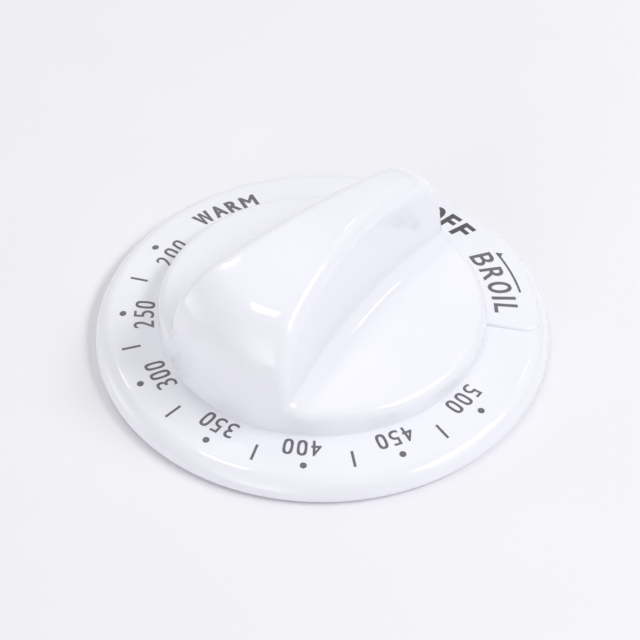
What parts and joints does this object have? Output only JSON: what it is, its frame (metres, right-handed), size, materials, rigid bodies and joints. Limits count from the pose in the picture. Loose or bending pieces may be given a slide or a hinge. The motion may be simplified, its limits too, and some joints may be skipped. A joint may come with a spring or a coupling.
{
  "type": "oven thermostat knob",
  "caption": "Round skirted oven knob with a wedge grip between two side lobes, a raised pad on the skirt, and a hollow underside with a split boss for a D-shaped stem.",
  "frame": {"origin": "on the stem axis, in the plane that the rim stands on", "axes": "+Z along the stem axis, out of the grip side. +Y towards the narrow end of the grip, which is the end that points at OFF. +X completes a right-handed frame."},
  "size_m": [0.0666, 0.0666, 0.0235],
  "materials": {
    "knob_plastic": "glossy white moulding",
    "spring_steel": "plain bright spring steel"
  },
  "bodies": {
    "root": {"knob_body": "knob_plastic", "hub_spring_ring": "spring_steel"}
  },
  "joints": []
}
